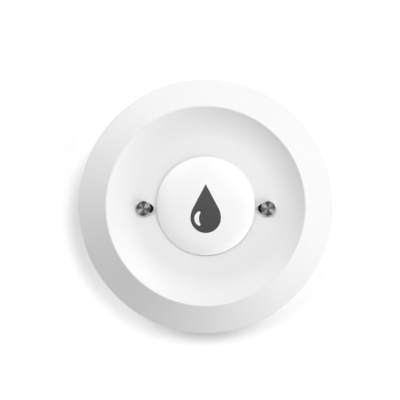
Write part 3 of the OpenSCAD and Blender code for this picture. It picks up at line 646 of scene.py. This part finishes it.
stops = [(*catchRing, base["stopLow"], base["stopHigh"], a + base["stopTurn"], base["stopAngle"])
         for a in base["catchTurns"]]
worked(baseTray, ringParts("stops", stops, steps=2), "UNION")
feetSpots = {"right": (1, 0), "back": (0, 1), "left": (-1, 0), "front": (0, -1)}
cuts = [(x, y, base["headR"], 0.0, base["headTop"]) for x, y in screwSpots]
cuts += [(x, y, base["postBoreR"], base["postBoreLow"], base["postCut"]) for x, y in postSpots]
cuts += [(x * base["footRing"], y * base["footRing"], base["footR"], 0.0, base["footTop"])
         for x, y in feetSpots.values()]
cuts += [(x, y, base["grommetR"], 0.0, base["grommetCut"]) for x, y in probeSpots.values()]
worked(baseTray, drums("cuts", cuts), "DIFFERENCE")
screwBores = [(x, y, cover["boreR"], *base["screwCut"]) for x, y in screwSpots]
worked(baseTray, drums("bores", screwBores), "DIFFERENCE")
settle(baseTray, baseAbs, "case", ["base_cover"])
print("base tray made:", len(baseTray.data.polygons), "faces")


# feet: soft pads with a rounded sole
foot = {"radius": 3.5, "top": 1.4, "soleRound": 0.4, "topRound": 0.1}
for name, (x, y) in feetSpots.items():
    pad = lathe("foot" + name.capitalize(), softened([
        (0.0, 0.0), (foot["radius"], 0.0, foot["soleRound"]),
        (foot["radius"], foot["top"], foot["topRound"]), (0.0, foot["top"]),
    ]), around=64)
    pad.location = (x * base["footRing"] * mm, y * base["footRing"] * mm, 0.0)
    settle(pad, greyRubber, "case", ["foot_" + name])
print("feet made")


# inside parts keep their CAD shapes and get their own finishes
finishes = {
    "case_gasket": greyRubber, "case_screws": zincSteel, "probe_nuts": brass,
    "left_grommet": blackRubber, "right_grommet": blackRubber, "left_eyelet": brass, "right_eyelet": brass,
    "circuit_board": greenBoard, "board_screws": zincSteel, "switch_body": blackNylon,
    "switch_plunger": blackNylon, "status_lamp": lampResin, "radio_module": greenBoard,
    "radio_shield": zincSteel, "chip_antenna": whiteCeramic, "sensing_chip": blackNylon,
    "board_parts": tanCeramic, "battery_holder": blackNylon, "coin_cell": cellCan,
    "positive_clip": brass, "negative_spring": brass, "button_spring": zincSteel,
    "stem_seal": blackRubber, "stem_clip": zincSteel, "battery_door": baseAbs, "door_seal": blackRubber,
}
for name, material in finishes.items():
    mesh = nodes[name].data
    for i in range(len(mesh.materials)):
        mesh.materials[i] = material

# return spring: a copy of the CAD coil on its own mesh, on the case
returnSpring = bpy.data.objects.new("returnSpring", nodes["button_spring"].data.copy())
scene.collection.objects.link(returnSpring)
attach(returnSpring, "case")
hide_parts("button_spring")
low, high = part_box("button_spring")
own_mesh(returnSpring)
print("inside parts finished")


# studio: white floor, a white backdrop that only shows in pictures and mirrors, and five softboxes
studio = {
    "floor": "#F2F2F2", "floorSeen": 1.34, "floorSize": 6.0, "surround": 0.0,
    "mottleMm": 25.0,
    "floorFade": (0.09, 0.3),  # metres from the axis, past all shadows, where the floor turns plain white
    "backdropTop": (0.35, 0.6), "overhead": 0.08,  # sines of the heights where the white backdrop fades out
    "lampDistance": 0.9,
    "lamps": {  # azimuth from +X, elevation, width, height, watts; equal sides make a round box
        "keyBox": (45, 54, 0.4, 0.4, 2.96),
        "leftBox": (135, 54, 0.4, 0.4, 2.72),
        "keyPanel": (45, 25, 1.0, 0.5, 1.85),
        "leftPanel": (135, 25, 1.0, 0.5, 2.65),
        "rightPanel": (315, 25, 1.0, 0.5, 5.68),
    },
}


# 1 where the camera, a mirror or a clear piece looks, 0 where light falls on things
def seenRays(tree):
    rays = addNode(tree, "ShaderNodeLightPath").outputs
    seen = addNode(tree, "ShaderNodeMath", {0: rays["Is Camera Ray"], 1: rays["Is Glossy Ray"]},
                   operation="MAXIMUM")
    seen = addNode(tree, "ShaderNodeMath", {0: seen.outputs["Value"], 1: rays["Is Transmission Ray"]},
                   operation="MAXIMUM")
    return seen.outputs["Value"]


floorMaterial, tree = startMaterial("paintedFloor")
place = addNode(tree, "ShaderNodeTexCoord").outputs["Object"]
mottle = addNode(tree, "ShaderNodeTexNoise", {
    "Vector": place, "Scale": 1 / (studio["mottleMm"] * mm), "Detail": 2.0})
white = hexColour(studio["floor"])
bright = tuple(c * studio["floorSeen"] for c in white[:3]) + (1.0,)
seen = seenRays(tree)
tone = addNode(tree, "ShaderNodeMix", {"Factor": seen, 6: white, 7: bright}, data_type="RGBA")
shade = addNode(tree, "ShaderNodeMix", {
    "Factor": mottle.outputs["Fac"], 6: (1.0, 1.0, 1.0, 1.0), 7: (0.995, 0.995, 0.995, 1.0)},
    data_type="RGBA")
mixed = addNode(tree, "ShaderNodeMix", {"Factor": 1.0, 6: tone.outputs[2], 7: shade.outputs[2]},
                data_type="RGBA", blend_type="MULTIPLY")
paint = addNode(tree, "ShaderNodeBsdfDiffuse", {"Color": mixed.outputs[2]})
far = addNode(tree, "ShaderNodeVectorMath", {0: place}, operation="LENGTH")
fade = addNode(tree, "ShaderNodeMapRange", {
    "Value": far.outputs["Value"], "From Min": studio["floorFade"][0], "From Max": studio["floorFade"][1]},
    interpolation_type="SMOOTHSTEP")
blank = addNode(tree, "ShaderNodeMath", {0: fade.outputs["Result"], 1: seen}, operation="MULTIPLY")
plain = addNode(tree, "ShaderNodeEmission", {"Color": (1.0, 1.0, 1.0, 1.0), "Strength": 1.0})
surface = addNode(tree, "ShaderNodeMixShader", {
    0: blank.outputs["Value"], 1: paint.outputs["BSDF"], 2: plain.outputs["Emission"]})
addNode(tree, "ShaderNodeOutputMaterial", {"Surface": surface.outputs["Shader"]})
bm = bmesh.new()
bmesh.ops.create_grid(bm, x_segments=1, y_segments=1, size=studio["floorSize"] / 2)
floor = newObject("studioFloor", bm)
floor.data.materials.append(floorMaterial)

world = bpy.data.worlds.new("studioSurround")
scene.world = world
world.use_nodes = True
tree = world.node_tree
tree.nodes.clear()
way = addNode(tree, "ShaderNodeTexCoord").outputs["Generated"]
height = addNode(tree, "ShaderNodeSeparateXYZ", {"Vector": way}).outputs["Z"]
backdrop = addNode(tree, "ShaderNodeMapRange", {
    "Value": height, "From Min": studio["backdropTop"][0], "From Max": studio["backdropTop"][1],
    "To Min": 1.0, "To Max": studio["overhead"]}, interpolation_type="SMOOTHSTEP")
level = addNode(tree, "ShaderNodeMix", {
    "Factor": seenRays(tree), 2: studio["surround"], 3: backdrop.outputs["Result"]})
sky = addNode(tree, "ShaderNodeBackground", {"Color": (1.0, 1.0, 1.0, 1.0), "Strength": level.outputs[0]})
addNode(tree, "ShaderNodeOutputWorld", {"Surface": sky.outputs["Background"]})

for name, (azimuth, elevation, width, height, watts) in studio["lamps"].items():
    lamp = bpy.data.lights.new(name, "AREA")
    lamp.energy = watts
    lamp.shape = "DISK" if width == height else "RECTANGLE"
    lamp.size = width
    lamp.size_y = height
    a, e = math.radians(azimuth), math.radians(elevation)
    towards = Vector((math.cos(a) * math.cos(e), math.sin(a) * math.cos(e), math.sin(e)))
    box = bpy.data.objects.new(name, lamp)
    box.location = towards * studio["lampDistance"]
    box.rotation_mode = "QUATERNION"
    box.rotation_quaternion = towards.to_track_quat("Z", "Y")
    scene.collection.objects.link(box)
print("studio lit")
